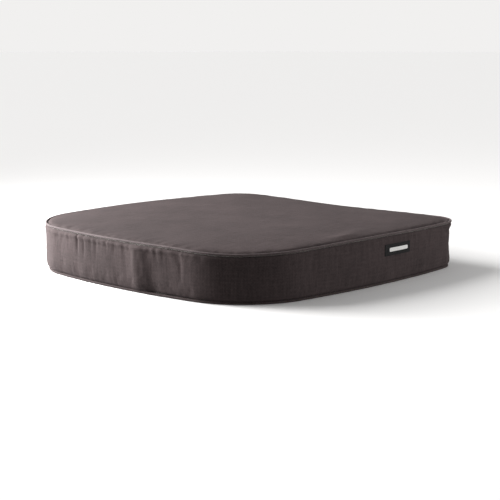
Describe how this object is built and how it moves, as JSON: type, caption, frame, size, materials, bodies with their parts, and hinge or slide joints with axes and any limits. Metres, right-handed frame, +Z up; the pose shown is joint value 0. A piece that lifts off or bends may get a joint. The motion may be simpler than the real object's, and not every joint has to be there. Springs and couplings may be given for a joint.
{
  "type": "seat cushion",
  "caption": "Flat boxed foam seat cushion with bowed sides, broad front corners, piped seams and a zipped removable cover.",
  "frame": {"origin": "under the middle of the overall box, on the surface that the cushion lies on", "axes": "+Z up out of the seat face, -Y towards the front edge, +X towards the sitter's left side"},
  "size_m": [0.4505, 0.4412, 0.0674],
  "materials": {
    "cover_cloth": "dark warm grey plain weave, matt",
    "piping_cloth": "same cloth on the bias, matt",
    "grip_cloth": "black cloth with rubber grip dots",
    "liner_knit": "off-white knitted sock",
    "memory_foam": "cream open-cell foam",
    "firm_foam": "grey open-cell foam",
    "zip_tape": "black woven polyester tape",
    "nylon_coil": "black nylon monofilament",
    "zinc_black": "black enamelled zinc casting",
    "label_weave": "black damask weave with a plain pale bar",
    "label_satin": "white satin ribbon, blank"
  },
  "bodies": {
    "cushion": {"top_panel": "cover_cloth", "boxing_band_left_side": "cover_cloth", "boxing_band_right_side": "cover_cloth", "zip_strip_upper": "cover_cloth", "zip_strip_lower": "cover_cloth", "top_piping": "piping_cloth", "bottom_piping": "piping_cloth", "bottom_panel": "grip_cloth", "inner_liner": "liner_knit", "comfort_foam": "memory_foam", "support_foam": "firm_foam", "zip_tape_upper": "zip_tape", "zip_tape_lower": "zip_tape", "zip_coil_upper": "nylon_coil", "zip_coil_lower": "nylon_coil", "zip_top_stop_upper": "zinc_black", "zip_top_stop_lower": "zinc_black", "zip_bottom_stop": "zinc_black", "side_label": "label_weave", "care_label": "label_satin"},
    "slider": {"zip_slider": "zinc_black"},
    "pull": {"zip_pull": "zinc_black"}
  },
  "joints": [
    {"name": "zip_slide", "type": "slide", "parent": "cushion", "child": "slider", "axis": [1, 0, 0], "range_m": [0, 0.278]},
    {"name": "pull_swing", "type": "hinge", "parent": "slider", "child": "pull", "pos_m": [-0.139, 0.2192, 0.03175], "axis": [0, 0, 1], "range_deg": [0, 180]}
  ]
}
